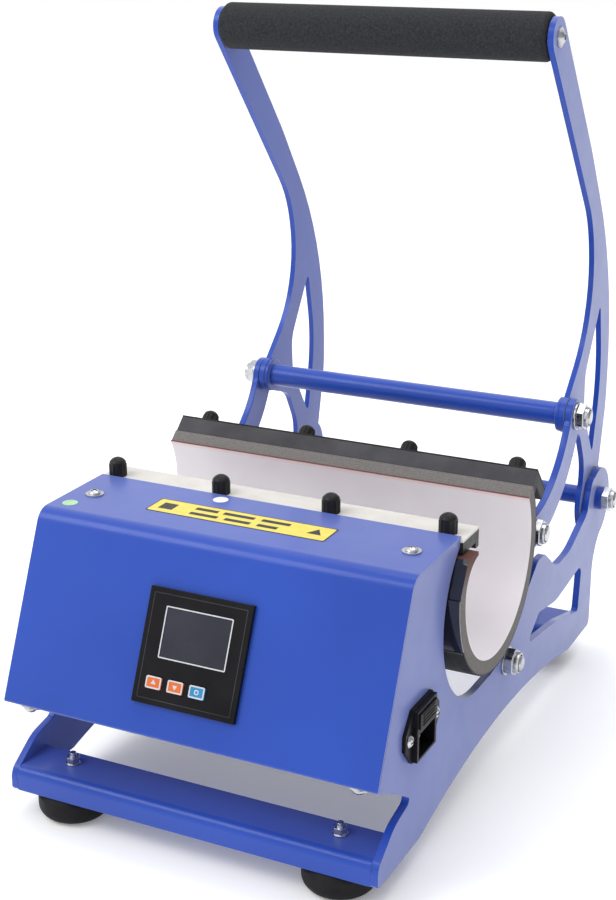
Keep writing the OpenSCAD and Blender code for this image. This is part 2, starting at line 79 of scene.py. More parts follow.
studio = {
    "sky": (1.0, 1.0, 1.0),
    # the room fades from bright to dim across these directions, towards +X
    "bright": 1.05, "dim": 0.3, "fadeFrom": 0.15, "fadeTo": 0.8,
    # name: place, point it faces, width, height, power
    "lamps": {
        "keyPanel": ((-1.5, -1.6, 2.4), (0, 0, 0.15), 1.6, 1.2, 30),
        "sidePanel": ((2.6, -0.3, 1.3), (0.1, 0, 0.2), 1.8, 1.8, 2),
        "topPanel": ((0.2, 0.6, 2.6), (0, 0, 0.1), 2.0, 1.6, 24),
    },
}


def makeStudio():
    world = bpy.data.worlds.new("studioSky")
    world.use_nodes = True
    tree = world.node_tree
    sky = tree.nodes["Background"]
    sky.inputs["Color"].default_value = (*studio["sky"], 1)
    way = tree.nodes.new("ShaderNodeTexCoord")
    axes = tree.nodes.new("ShaderNodeSeparateXYZ")
    fade = tree.nodes.new("ShaderNodeMapRange")
    limits = {"From Min": "fadeFrom", "From Max": "fadeTo", "To Min": "bright", "To Max": "dim"}
    for socket, name in limits.items():
        fade.inputs[socket].default_value = studio[name]
    tree.links.new(way.outputs["Generated"], axes.inputs[0])
    tree.links.new(axes.outputs["X"], fade.inputs["Value"])
    tree.links.new(fade.outputs[0], sky.inputs["Strength"])
    bpy.context.scene.world = world
    bpy.context.scene.view_settings.view_transform = "Standard"
    for name, (place, target, width, height, power) in studio["lamps"].items():
        lamp = bpy.data.lights.new(name, "AREA")
        lamp.shape = "RECTANGLE"
        lamp.size, lamp.size_y, lamp.energy = width, height, power
        panel = bpy.data.objects.new(name, lamp)
        aim = (Vector(target) - Vector(place)).to_track_quat("-Z", "Y")
        panel.matrix_world = Matrix.Translation(place) @ aim.to_matrix().to_4x4()
        bpy.context.collection.objects.link(panel)


makeStudio()
print("camera and lights placed")


class Value:                                   # a socket that can be used in sums
    def __init__(self, finish, socket):
        self.finish, self.socket = finish, socket

    def __add__(self, other):
        return self.finish.sum("ADD", self, other)

    def __radd__(self, other):
        return self.finish.sum("ADD", other, self)

    def __mul__(self, other):
        return self.finish.sum("MULTIPLY", self, other)

    def __rmul__(self, other):
        return self.finish.sum("MULTIPLY", other, self)


class Finish:                                  # one material and the nodes behind it
    def __init__(self, name, fixed):
        self.material = bpy.data.materials.new(name)
        self.material.use_nodes = True
        self.tree = self.material.node_tree
        self.shader = self.tree.nodes["Principled BSDF"]
        for socket, value in fixed.items():
            self.shader.inputs[socket].default_value = value

    def add(self, kind, settings, sockets, out=0):
        node = self.tree.nodes.new(kind)
        for name, value in settings.items():
            setattr(node, name, value)
        for name, value in sockets.items():
            self.feed(node.inputs[name], value)
        return Value(self, node.outputs[out])

    def feed(self, socket, value):
        if isinstance(value, Value):
            self.tree.links.new(value.socket, socket)
        else:
            socket.default_value = value

    def sum(self, operation, first, second):
        return self.add("ShaderNodeMath", {"operation": operation}, {0: first, 1: second})

    def set(self, name, value):
        self.feed(self.shader.inputs[name], value)

    def place(self, scale=(1, 1, 1), shift=(0, 0, 0)):
        spot = self.add("ShaderNodeTexCoord", {}, {}, out="Object")
        if scale == (1, 1, 1) and shift == (0, 0, 0):
            return spot
        return self.add("ShaderNodeMapping", {}, {"Vector": spot, "Scale": scale, "Location": shift})

    def noise(self, scale, detail=3.0, stretch=(1, 1, 1)):
        return self.add("ShaderNodeTexNoise", {}, {"Vector": self.place(stretch), "Scale": scale,
                                                   "Detail": detail})

    def range(self, cloud, low, high):         # noise, most of it between 0.3 and 0.7, spread over low..high
        return self.add("ShaderNodeMapRange", {}, {"Value": cloud, "From Min": 0.3, "From Max": 0.7,
                                                   "To Min": low, "To Max": high})

    def rise(self, value, start, full):        # 0 at start to 1 at full, held at the ends
        return self.add("ShaderNodeMapRange", {}, {"Value": value, "From Min": start, "From Max": full})

    def mix(self, factor, first, second):
        return self.add("ShaderNodeMix", {"data_type": "RGBA"}, {0: factor, 6: first, 7: second}, out=2)

    def blotch(self, cloud, first, second):    # two close tones, blended by noise
        return self.mix(self.range(cloud, 0.0, 1.0), tint(*first), tint(*second))

    def bump(self, height, depth, strength):
        settings = {"Height": height, "Distance": depth, "Strength": strength}
        self.set("Normal", self.add("ShaderNodeBump", {}, settings))


def tint(r, g, b):
    return (r, g, b, 1.0)


def bluePaint():                               # gloss powder coat with a faint orange peel
    f = Finish("bluePowderCoat", {"Coat Weight": 0.12, "Coat Roughness": 0.1, "Specular IOR Level": 0.25,
                                  "Sheen Weight": 0.55, "Sheen Roughness": 0.45})
    f.set("Base Color", f.blotch(f.noise(9.0, 2.0), (0.005, 0.048, 0.355), (0.009, 0.060, 0.415)))
    f.set("Roughness", f.range(f.noise(60.0, 4.0), 0.30, 0.38))
    f.bump(f.noise(520.0, 2.0), 0.00012, 0.3)
    return f


def zincSteel():                               # bright zinc with fine drawn lines; its colour is darkened, more so in patches, as painted dark reflections
    f = Finish("zincSteel", {"Metallic": 1.0})
    # painted dark reflections: the base colour is held low and falls further in noise patches
    f.set("Base Color", f.blotch(f.noise(160.0, 4.0), (0.60, 0.61, 0.63), (0.42, 0.43, 0.46)))
    f.set("Roughness", f.range(f.noise(240.0, 3.0, (0.15, 1, 1)), 0.16, 0.34))
    f.bump(f.noise(1800.0, 2.0, (0.2, 1, 1)), 0.00005, 0.4)
    return f


def moulded(name, dark, light, roughness, grain, depth, shine=0.2):   # plastic or rubber with a moulded grain
    f = Finish(name, {"Specular IOR Level": shine})
    f.set("Base Color", f.blotch(f.noise(40.0, 3.0), dark, light))
    f.set("Roughness", f.range(f.noise(grain / 3, 3.0), roughness - 0.06, roughness + 0.06))
    f.bump(f.noise(grain, 2.0), depth, 0.6)
    return f


def foamSleeve():                              # closed-cell foam: fine pits and a dusty bloom
    f = Finish("foamSleeve", {"Specular IOR Level": 0.3})
    cells = f.add("ShaderNodeTexVoronoi", {"feature": "F1"}, {"Vector": f.place(), "Scale": 1500.0})
    speck = f.noise(700.0, 4.0)
    f.set("Base Color", f.blotch(speck, (0.008, 0.009, 0.011), (0.034, 0.035, 0.040)))
    f.set("Roughness", f.range(speck, 0.75, 0.92))
    f.bump(cells + speck * 0.6, 0.0004, 0.8)
    return f


# the lining is bound in pink and maroon: where each starts and is full, down from its rear edge
binding = {"pink": (4.4 * mm, 1.8 * mm), "maroon": (1.5 * mm, 1.2 * mm)}


def matLining(edgeHeight):                     # smooth coated cloth
    f = Finish("matLining", {"Specular IOR Level": 0.4, "Sheen Weight": 0.15, "Sheen Roughness": 0.4})
    weave = f.add("ShaderNodeTexChecker", {}, {"Vector": f.place(), "Scale": 1600.0}, out="Fac")
    height = f.add("ShaderNodeSeparateXYZ", {}, {0: f.place()}, out=2)
    pink, maroon = (f.rise(height, edgeHeight - start, edgeHeight - full) for start, full in binding.values())
    cloth = f.blotch(f.noise(14.0, 3.0), (0.69, 0.65, 0.69), (0.77, 0.74, 0.77))
    bound = f.mix(pink, cloth, tint(0.76, 0.55, 0.53))
    f.set("Base Color", f.mix(maroon, bound, tint(0.10, 0.025, 0.028)))
    f.set("Roughness", f.range(f.noise(90.0, 3.0), 0.38, 0.50))
    f.bump(weave * 0.3 + f.noise(600.0, 2.0), 0.00006, 0.5)
    return f


scorch = {"front": (-28 * mm, -44 * mm), "up": (8 * mm, 24 * mm)}   # its start and full, from the centre


def matFoam(centre):                           # sponge, ribbed on its cut edge, scorched at its front tip
    f = Finish("matFoam", {"Specular IOR Level": 0.3})
    back = f.add("ShaderNodeSeparateXYZ", {}, {0: f.place(shift=(0, -centre[0], -centre[1]))}, out=1)
    up = Value(f, back.socket.node.outputs[2])
    ribs = f.add("ShaderNodeMath", {"operation": "SINE"}, {0: f.sum("ARCTAN2", up, back) * 950.0}) * 0.5 + 0.5
    crumb = f.noise(900.0, 4.0)
    foam = f.mix(ribs * 0.15 + f.range(crumb, 0.2, 0.75), tint(0.105, 0.098, 0.095), tint(0.22, 0.205, 0.20))
    burnt = f.rise(back, *scorch["front"]) * f.rise(up, *scorch["up"])
    f.set("Base Color", f.mix(burnt, foam, tint(0.13, 0.055, 0.045)))
    f.set("Roughness", f.range(crumb, 0.75, 0.95))
    f.bump(ribs * 0.2 + crumb, 0.0002, 0.5)
    return f


def glossBlack():                              # the skin of the heating band
    f = Finish("glossBlack", {"Coat Weight": 1.0, "Coat Roughness": 0.03, "Specular IOR Level": 0.6})
    f.set("Base Color", f.blotch(f.noise(20.0, 2.0), (0.006, 0.006, 0.008), (0.016, 0.016, 0.02)))
    f.set("Roughness", f.range(f.noise(120.0, 3.0), 0.08, 0.16))
    f.bump(f.noise(45.0, 2.0), 0.0006, 0.25)
    return f


def mattBand():                                # the same band below its seam, dull and faintly dusty
    f = Finish("mattBand", {"Specular IOR Level": 0.3})
    f.set("Base Color", f.blotch(f.noise(35.0, 4.0), (0.012, 0.012, 0.014), (0.030, 0.030, 0.034)))
    f.set("Roughness", f.range(f.noise(300.0, 3.0), 0.50, 0.66))
    f.bump(f.noise(900.0, 2.0), 0.0001, 0.5)
    return f


def printed(name, color, roughness=0.5):       # flat printed ink or paper, a little faded in places
    f = Finish(name, {"Specular IOR Level": 0.4})
    faded = tuple(0.86 * c for c in color)
    f.set("Base Color", f.blotch(f.noise(250.0, 4.0), faded, color))
    f.set("Roughness", f.range(f.noise(300.0, 3.0), roughness - 0.07, roughness + 0.07))
    return f


def fuseGlass():
    f = Finish("fuseGlass", {"Transmission Weight": 0.9, "IOR": 1.5})
    f.set("Base Color", f.blotch(f.noise(80.0), (0.8, 0.85, 0.86), (0.9, 0.93, 0.93)))
    f.set("Roughness", f.range(f.noise(90.0), 0.02, 0.08))
    return f


# the heating mat: its thicknesses, and the size of its round and of its front curl
mat = {"inside": 59.5 * mm, "lining": 1.2 * mm, "foam": 8.7 * mm, "band": 1.2 * mm, "curl": 22 * mm,
       "half": 137 * mm, "columns": 24, "edge": 0.35 * mm}
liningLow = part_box("heater_lining_front")[0]
mat["centre"] = (liningLow.y + mat["inside"] + mat["lining"], liningLow.z + mat["inside"] + mat["lining"])

finishes = {
    "blue_steel": bluePaint(),
    "zinc_steel": zincSteel(),
    "foot_rubber": moulded("footRubber", (0.006, 0.006, 0.007), (0.016, 0.016, 0.018),
                           roughness=0.62, grain=700.0, depth=0.0002, shine=0.15),
    "grip_sleeve": foamSleeve(),
    "black_plastic": moulded("blackPlastic", (0.0035, 0.0035, 0.005), (0.008, 0.008, 0.011),
                             roughness=0.38, grain=1400.0, depth=0.00008, shine=0.14),
    "screen": moulded("screenWindow", (0.024, 0.025, 0.036), (0.034, 0.035, 0.050),
                      roughness=0.22, grain=300.0, depth=0.00002),
    "orange_button": moulded("orangeKey", (0.60, 0.125, 0.032), (0.70, 0.165, 0.045),
                             roughness=0.42, grain=900.0, depth=0.00005),
    "blue_button": moulded("blueKey", (0.028, 0.22, 0.44), (0.045, 0.28, 0.52),
                           roughness=0.42, grain=900.0, depth=0.00005),
    "cap_plastic": moulded("capPlastic", (0.008, 0.008, 0.009), (0.022, 0.022, 0.024),
                           roughness=0.42, grain=900.0, depth=0.0001),
    "mat_lining": matLining(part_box("heater_lining_rear")[1].z),
    "mat_foam": matFoam(mat["centre"]),
    "mat_band": glossBlack(),
    "clamp_rubber": moulded("clampRubber", (0.046, 0.046, 0.052), (0.074, 0.074, 0.082),
                            roughness=0.66, grain=500.0, depth=0.0002),
    "cream_strip": moulded("creamStrip", (0.58, 0.56, 0.53), (0.68, 0.66, 0.63),
                           roughness=0.5, grain=500.0, depth=0.0001),
    "wire_sleeve": moulded("wireSleeve", (0.25, 0.09, 0.04), (0.34, 0.13, 0.06),
                           roughness=0.45, grain=600.0, depth=0.0001),
    "fuse_glass": fuseGlass(),
}
paleLine = printed("paleLine", (0.60, 0.61, 0.64))
labelYellow = printed("labelYellow", (0.82, 0.68, 0.11), 0.4)
labelBlack = printed("labelBlack", (0.02, 0.02, 0.022), 0.45)
stickerWhite = printed("stickerWhite", (0.88, 0.88, 0.86))
stickerGreen = printed("stickerGreen", (0.42, 0.66, 0.40))
greyWelt = printed("greyWelt", (0.16, 0.16, 0.17))
nutCollar = moulded("nutCollar", (0.02, 0.02, 0.024), (0.05, 0.05, 0.055),
                    roughness=0.45, grain=900.0, depth=0.00005)
blackRubber = moulded("blackRubber", (0.010, 0.010, 0.011), (0.022, 0.022, 0.024),
                      roughness=0.40, grain=500.0, depth=0.0001)
ownFinish = {name: finishes[slot] for name, slot in slotOf.items()}
ownFinish["front_clamp_block"] = blackRubber
for name, node in nodes.items():
    node.data.materials.clear()
    node.data.materials.append(ownFinish[name].material)
print("finishes made:", len(finishes))

partWeld = 1e-6                                # points nearer than this become one, in metres
fineWeld = 1e-7
easing = {"segments": 2, "sharpFrom": 28, "flatBelow": 0.6}   # angles in degrees


def finishMesh(bm, name, finish, body, replaced=(), sharp=38, weighted=True):
    mesh = bpy.data.meshes.new(name)
    bm.to_mesh(mesh)
    bm.free()
    for polygon in mesh.polygons:
        polygon.use_smooth = True
    mesh.set_sharp_from_angle(angle=radians(sharp))
    piece = bpy.data.objects.new(name, mesh)
    bpy.context.collection.objects.link(piece)
    for one in finish if isinstance(finish, list) else [finish]:
        mesh.materials.append(one.material)
    if weighted:
        piece.modifiers.new("evenNormals", "WEIGHTED_NORMAL").keep_sharp = True
    if body:
        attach(piece, body)
    if replaced:
        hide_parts(*replaced)
    return piece


def bevelSharp(bm, width):
    edges = [e for e in bm.edges if e.is_manifold and e.calc_face_angle() > radians(easing["sharpFrom"])]
    bmesh.ops.bevel(bm, geom=edges, offset=width, affect="EDGES", segments=easing["segments"], profile=0.5,
                    material=-1, clamp_overlap=True)


def eased(nodeName, width):                    # the same part with its edges broken
    bm = bmesh.new()
    bm.from_mesh(nodes[nodeName].data)
    bmesh.ops.remove_doubles(bm, verts=bm.verts, dist=partWeld)
    bmesh.ops.dissolve_limit(bm, angle_limit=radians(easing["flatBelow"]), verts=bm.verts, edges=bm.edges)
    bevelSharp(bm, width)
    finishMesh(bm, nodeName + ".eased", ownFinish[nodeName], ownBody[nodeName], [nodeName])


def middle(nodeName):
    low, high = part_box(nodeName)
    return (low + high) / 2


def movedVerts(geom):
    return [v for v in geom if isinstance(v, bmesh.types.BMVert)]


# width of each part's broken edges, in mm
edgeWidth = {
    "side_plate_left": 0.7, "side_plate_right": 0.7, "handle_plate_left": 0.8, "handle_plate_right": 0.8,
    "link_left": 0.7, "link_right": 0.7, "jaw_arm_left": 0.7, "jaw_arm_right": 0.7, "jaw_bar": 0.5,
    "control_cover": 0.35, "box_tray": 0.35, "front_support": 0.6, "toe_board": 0.6, "rear_board": 0.6,
    "rear_rod_spacers": 0.6, "rear_tube": 0.3, "cross_tube": 0.6, "rubber_feet": 0.8,
    "controller_bezel": 0.7, "inlet_housing": 0.5, "fuse_drawer": 0.4, "inlet_pins": 0.3,
    "front_clamp_block": 0.6, "front_flange_strip": 0.3,
    "panel_screws": 0.25, "inlet_screws": 0.25, "foot_studs": 0.35, "grip_screws": 0.5,
    "front_caps": 0.3, "rear_caps": 0.3, "front_studs": 0.3, "rear_studs": 0.3,
    "button_up": 0.5, "button_down": 0.5, "button_ok": 0.5,
}
for name, width in edgeWidth.items():
    eased(name, width * mm)
print("steel and moulded parts eased:", len(edgeWidth))

rearClamp = {"lean": 42.2, "nose": 9 * mm, "noseDeep": (13.2 * mm, 15.4 * mm), "thick": 9 * mm,
             "width": 27 * mm, "half": 136.7 * mm, "edge": 0.8 * mm,
             "stripThick": 0.9 * mm, "stripEdge": 0.2 * mm}
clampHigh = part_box("rear_clamp_block")[1]
clampLean = radians(rearClamp["lean"])
leanUp = Vector((0, cos(clampLean), sin(clampLean)))
leanOut = Vector((0, sin(clampLean), -cos(clampLean)))
# the highest point of the clamp is its inner top edge
rearCorner = Vector((0, clampHigh.y - rearClamp["width"] * leanOut.y, clampHigh.z))

# the mat is three layers, each one sheet: round the front curl, under the mug and up to the rear clamp
mat.update({
    "curlCentre": Vector((0, mat["centre"][0] + mat["curl"] - mat["inside"], mat["centre"][1])),
    # where each layer starts and ends, in degrees round its centre
    "tip": {"lining": 95, "foam": 97, "band": 177},
    "end": {"lining": 389.4, "foam": 394, "band": 380},
    "curlEnd": 180, "curlSteps": 14, "roundSteps": 64,
    "underClamp": 2.4 * mm,                            # how far the foam stands over the lining, at the clamp
    "cornerBack": 0.1 * mm, "frontCut": radians(61.3),   # the foam's front corner is trimmed on this slope
    "bend": (36 * mm, 50 * mm),                        # two places along the mat, front and back
    "seam": 210, "seamRadius": 0.35 * mm, "seamShort": 1 * mm,
    "skinFront": -0.3, "skinSide": 0.5,                # which way the gloss skin faces, along y and across x
})


def matLayer(name, layer, inner, outer, finish, replaced):
    centre = Vector((0, *mat["centre"]))
    start, end, onCurl = mat["tip"][layer], mat["end"][layer], layer != "band"
    first, shift = (mat["curlCentre"], mat["curl"] - mat["inside"]) if onCurl else (centre, 0)
    bm = bmesh.new()
    bmesh.ops.create_grid(bm, x_segments=mat["columns"], y_segments=1, size=1)
    bmesh.ops.scale(bm, vec=(mat["half"], (outer - inner) / 2, 1), verts=bm.verts)
    bmesh.ops.translate(bm, vec=(0, (outer + inner) / 2 + shift, 0), verts=bm.verts)
    place = Matrix.Translation(first) @ Matrix.Rotation(radians(start), 4, "X")
    bmesh.ops.transform(bm, matrix=place, verts=bm.verts)
    ring = bm.verts[:] + bm.edges[:] + bm.faces[:]
    if onCurl:
        turned = bmesh.ops.spin(bm, geom=ring, cent=first, axis=(1, 0, 0), steps=mat["curlSteps"],
                                angle=radians(mat["curlEnd"] - start), use_duplicate=False)
        ring = turned["geom_last"]
        start = mat["curlEnd"]
    bmesh.ops.spin(bm, geom=ring, cent=centre, axis=(1, 0, 0), angle=radians(end - start),
                   steps=mat["roundSteps"], use_duplicate=False)
    bmesh.ops.remove_doubles(bm, verts=bm.verts, dist=partWeld)
    if layer == "foam":
        top = mat["curlCentre"].z + mat["curl"] + mat["lining"]
        corner = (0, mat["curlCentre"].y - mat["curl"] + mat["cornerBack"], top)
        trim(bm, (0, 0, top + mat["underClamp"]), (0, 0, 1), rear=False)
        trim(bm, corner, (0, -sin(mat["frontCut"]), cos(mat["frontCut"])), rear=False)
        trim(bm, rearCorner, -leanOut, rear=True)
    bmesh.ops.recalc_face_normals(bm, faces=bm.faces)
    bevelSharp(bm, mat["edge"])
    piece = finishMesh(bm, name, finish, None, replaced)
    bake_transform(piece)
    return piece


def trim(bm, point, normal, rear):             # cuts one upper end off past a plane, and closes it
    part = [f for f in bm.faces if f.calc_center_median().z > mat["centre"][1]
            and (f.calc_center_median().y > mat["centre"][0]) == rear]
    geom = part + list({e for f in part for e in f.edges}) + list({v for f in part for v in f.verts})
    bmesh.ops.bisect_plane(bm, geom=geom, plane_co=point, plane_no=normal, clear_outer=True, dist=fineWeld)
    bmesh.ops.holes_fill(bm, edges=[e for e in bm.edges if e.is_boundary])


foamInner = mat["inside"] + mat["lining"]
bandInner = foamInner + mat["foam"]
matLayer("matLining", "lining", mat["inside"], foamInner, finishes["mat_lining"],
         ["heater_lining_front", "heater_lining_rear"])
foam = matLayer("matFoam", "foam", foamInner, bandInner, [finishes["mat_foam"], finishes["mat_band"]],
                ["heater_foam_front", "heater_foam_rear"])
for polygon in foam.data.polygons:             # the front end has the band's gloss skin on its outer side
    outward = polygon.normal.y < mat["skinFront"] and abs(polygon.normal.x) < mat["skinSide"]
    tip = polygon.center.y < mat["centre"][0] and polygon.center.z > mat["centre"][1]
    polygon.material_index = 1 if outward and tip else 0
band = matLayer("matBand", "band", bandInner, bandInner + mat["band"], [finishes["mat_band"], mattBand()],
                ["heater_band_front", "heater_band_rear"])
seamHeight = mat["centre"][1] + bandInner * sin(radians(mat["seam"]))
for polygon in band.data.polygons:             # dull below the seam
    polygon.material_index = 1 if polygon.center.z < seamHeight or polygon.center.y > mat["centre"][0] else 0


def matSeam():                                 # the welt between the gloss and the dull band
    radius, angle = bandInner + mat["band"], radians(mat["seam"])
    bm = bmesh.new()
    bmesh.ops.create_cone(bm, cap_ends=True, segments=12, radius1=mat["seamRadius"], radius2=mat["seamRadius"],
                          depth=2 * mat["half"] - mat["seamShort"])
    place = Vector((0, mat["centre"][0] + radius * cos(angle), mat["centre"][1] + radius * sin(angle)))
    turn = Matrix.Rotation(pi / 2, 4, "Y")
    bmesh.ops.transform(bm, matrix=Matrix.Translation(place) @ turn, verts=bm.verts)
    finishMesh(bm, "matSeam", greyWelt, "base", [])


matSeam()


def rearClampBar():                            # a stepped rubber bar that pinches the end of the mat
    c = rearClamp
    bm = bmesh.new()
    outline = [(0, -c["stripThick"]), (c["width"], -c["stripThick"]), (c["width"], -c["thick"]),
               (c["nose"], -c["thick"]), (c["nose"], -c["noseDeep"][1]), (0, -c["noseDeep"][0])]
    end = rearCorner - Vector((c["half"], 0, 0))
    face = bm.faces.new([bm.verts.new(end + leanOut * out + leanUp * up) for out, up in outline])
    moved = bmesh.ops.extrude_face_region(bm, geom=[face])["geom"]
    bmesh.ops.translate(bm, vec=(2 * c["half"], 0, 0), verts=movedVerts(moved))
    bmesh.ops.recalc_face_normals(bm, faces=bm.faces)
    bevelSharp(bm, c["edge"])
    finishMesh(bm, "rearClamp", finishes["clamp_rubber"], "jaw", ["rear_clamp_block"])
    bm = bmesh.new()
    bmesh.ops.create_cube(bm, size=1)
    bmesh.ops.scale(bm, vec=(2 * c["half"], c["width"], c["stripThick"]), verts=bm.verts)
    spot = rearCorner + leanOut * c["width"] / 2 - leanUp * c["stripThick"] / 2
    place = Matrix.Translation(spot) @ Matrix.Rotation(clampLean - pi / 2, 4, "X")
    bmesh.ops.transform(bm, matrix=place, verts=bm.verts)
    bevelSharp(bm, c["stripEdge"])
    finishMesh(bm, "rearClampStrip", finishes["cap_plastic"], "jaw", [])


rearClampBar()
print("heating mat made")


def tile(bm, spot, size, low, high, corner=0.0, index=0, sides=4):   # a thin plate, or a three-sided mark
    if sides == 4:
        made = bmesh.ops.create_cube(bm, size=1)["verts"]
    else:
        reach = 0.577                          # from middle to point, for sides of about 1
        made = bmesh.ops.create_cone(bm, cap_ends=True, segments=sides, radius1=reach, radius2=reach,
                                     depth=1)["verts"]
    bmesh.ops.scale(bm, vec=(*size, high - low), verts=made)
    bmesh.ops.translate(bm, vec=(*spot, (low + high) / 2), verts=made)
    for face in {f for v in made for f in v.link_faces}:
        face.material_index = index
    if corner:
        upright = [e for e in {e for v in made for e in v.link_edges}
                   if abs(e.verts[0].co.z - e.verts[1].co.z) > (high - low) / 2]
        bmesh.ops.bevel(bm, geom=upright, offset=corner, affect="EDGES", segments=5, profile=0.5, material=-1)


def frameLine(bm, spot, size, width, low, high, corner):   # a thin raised border
    made = bmesh.ops.create_grid(bm, x_segments=1, y_segments=1, size=0.5)["verts"]
    bmesh.ops.scale(bm, vec=(*size, 1), verts=made)
    bmesh.ops.translate(bm, vec=(*spot, low), verts=made)
    before = set(bm.faces) - {f for v in made for f in v.link_faces}
    bmesh.ops.bevel(bm, geom=made, offset=corner, affect="VERTICES", segments=5, profile=0.5, material=-1)
    outer = [f for f in bm.faces if f not in before]
    bmesh.ops.inset_region(bm, faces=outer, thickness=width, use_boundary=True, use_even_offset=True)
    bmesh.ops.delete(bm, geom=outer, context="FACES")
    ring = [f for f in bm.faces if f not in before]
    raised = bmesh.ops.extrude_face_region(bm, geom=ring, use_keep_orig=True)["geom"]
    bmesh.ops.translate(bm, vec=(0, 0, high - low), verts=movedVerts(raised))


def placeTrim(bm, name, finish, body, place):
    bmesh.ops.transform(bm, matrix=place, verts=bm.verts)
    bmesh.ops.recalc_face_normals(bm, faces=bm.faces)
    finishMesh(bm, name, finish, body, [], sharp=30, weighted=False)


# every place is across and up the face from the middle of the bezel
controller = {
    "lean": 66.5, "face": 1.5 * mm, "sunk": 0.1 * mm, "proud": 0.12 * mm,
    "border": 64.5 * mm, "borderWidth": 0.5 * mm, "borderProud": 0.06 * mm, "borderCorner": 1 * mm,
    "screen": (46 * mm, 31.5 * mm), "screenGap": 0.3 * mm, "screenLine": 0.75 * mm, "screenCorner": 0.9 * mm,
    "keyRow": -21.8 * mm, "keyTop": 2.5 * mm, "key": (10.5 * mm, 7.5 * mm), "keyLine": 0.9 * mm,
    "keyCorner": 1.1 * mm, "mark": 3.4 * mm, "ring": 3 * mm, "ringLine": 0.7 * mm, "ringCorner": 1 * mm,
    # how far each key's mark is turned: up, down, and a ring that has no point
    "marks": {"button_up": 0, "button_down": 180, "button_ok": None},
}


def controllerTrim():
    c = controller
    face = Matrix.Translation(middle("controller_bezel")) @ Matrix.Rotation(radians(c["lean"]), 4, "X")
    screen = face.inverted() @ middle("controller_screen")
    low, high = c["face"] - c["sunk"], c["face"] + c["proud"]
    bm = bmesh.new()
    size = (c["border"], c["border"])
    frameLine(bm, (0, 0), size, c["borderWidth"], low, c["face"] + c["borderProud"], c["borderCorner"])
    placeTrim(bm, "bezelLine", nutCollar, "base", face)
    bm = bmesh.new()
    size = [side + c["screenGap"] for side in c["screen"]]
    frameLine(bm, (screen.x, screen.y), size, c["screenLine"], low, high, c["screenCorner"])
    placeTrim(bm, "screenLine", paleLine, "base", face)
    low, high = c["keyTop"] - c["sunk"], c["keyTop"] + c["proud"]
    for name, turn in c["marks"].items():
        spot = ((face.inverted() @ middle(name)).x, c["keyRow"])
        bm = bmesh.new()
        frameLine(bm, spot, c["key"], c["keyLine"], low, high, c["keyCorner"])
        if turn is None:
            frameLine(bm, spot, (c["ring"], c["ring"]), c["ringLine"], low, high, c["ringCorner"])
        else:
            start = len(bm.verts)
            tile(bm, (0, 0), (c["mark"], c["mark"]), low, high, sides=3)
            bm.verts.ensure_lookup_table()
            mark = bm.verts[start:]
            bmesh.ops.rotate(bm, cent=(0, 0, 0), matrix=Matrix.Rotation(radians(turn), 3, "Z"), verts=mark)
            bmesh.ops.translate(bm, vec=(*spot, 0), verts=mark)
        placeTrim(bm, name + ".mark", paleLine, ownBody[name], face)


controllerTrim()

# the cover's printed label says nothing: a square, a triangle and a few bars
labels = {
    "label": (-68 * mm, 58 * mm, -147 * mm, -125 * mm), "labelRim": 0.9 * mm, "corner": 1.5 * mm,
    "rimThick": 0.1 * mm, "thick": 0.16 * mm, "inkProud": 0.03 * mm, "barCorner": 0.5 * mm,
    # middle across and up, length and height of each bar, in mm from the label's middle
    "bars": [(-26, 4.2, 16, 4), (-3, 4.2, 22, 4), (23, 4.2, 20, 4), (-24, -4.2, 20, 4), (0, -4.2, 18, 4),
             (21, -4.2, 14, 4)],
    "marks": {-52: 4, 52: 3}, "mark": 10 * mm,         # sides of the mark at each place across, in mm
    # middle across and up, and width
    "sticker": (-33 * mm, -111 * mm, 10 * mm), "dot": (-117 * mm, -158 * mm, 10 * mm),
}


def coverTrim():
    c = labels
    top = Matrix.Translation((0, 0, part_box("control_cover")[1].z))
    x0, x1, y0, y1 = c["label"]
    centre, size = ((x0 + x1) / 2, (y0 + y1) / 2), (x1 - x0, y1 - y0)
    inked = c["thick"] + c["inkProud"]
    bm = bmesh.new()
    tile(bm, centre, size, 0, c["rimThick"], c["corner"], 1)
    tile(bm, centre, [side - 2 * c["labelRim"] for side in size], 0, c["thick"], c["corner"], 0)
    for x, y, long, high in c["bars"]:
        spot = (x * mm + centre[0], y * mm + centre[1])
        tile(bm, spot, (long * mm, high * mm), 0, inked, c["barCorner"], 1)
    for x, sides in c["marks"].items():
        tile(bm, (x * mm + centre[0], centre[1]), (c["mark"], c["mark"]), 0, inked, 0, 1, sides)
    placeTrim(bm, "coverLabel", [labelYellow, labelBlack], "base", top)
    for name, finish in (("sticker", stickerWhite), ("dot", stickerGreen)):
        x, y, wide = c[name]
        bm = bmesh.new()
        bmesh.ops.create_cone(bm, cap_ends=True, segments=48, radius1=wide / 2, radius2=wide / 2,
                              depth=c["thick"])
        bmesh.ops.translate(bm, vec=(x, y, c["thick"] / 2), verts=bm.verts)
        placeTrim(bm, "cover" + name.title(), finish, "base", top)


coverTrim()
print("controller and cover trim made")


def lathe(bm, profile, centre, index=0, steps=40):   # a profile of (place along x, radius), turned about x
    verts = [bm.verts.new((x, centre[0] + radius, centre[1])) for x, radius in profile]
    edges = [bm.edges.new(pair) for pair in zip(verts, verts[1:])]
    known = set(bm.faces)
    bmesh.ops.spin(bm, geom=verts + edges, cent=(0, *centre), axis=(1, 0, 0), angle=2 * pi, steps=steps,
                   use_merge=True, use_duplicate=False)
    bmesh.ops.remove_doubles(bm, verts=bm.verts, dist=fineWeld)
    for face in bm.faces:
        if face not in known:
            face.material_index = index


grip = {"end": 3.2 * mm, "bore": 10.55 * mm, "cornerSteps": 6, "turnSteps": 64}


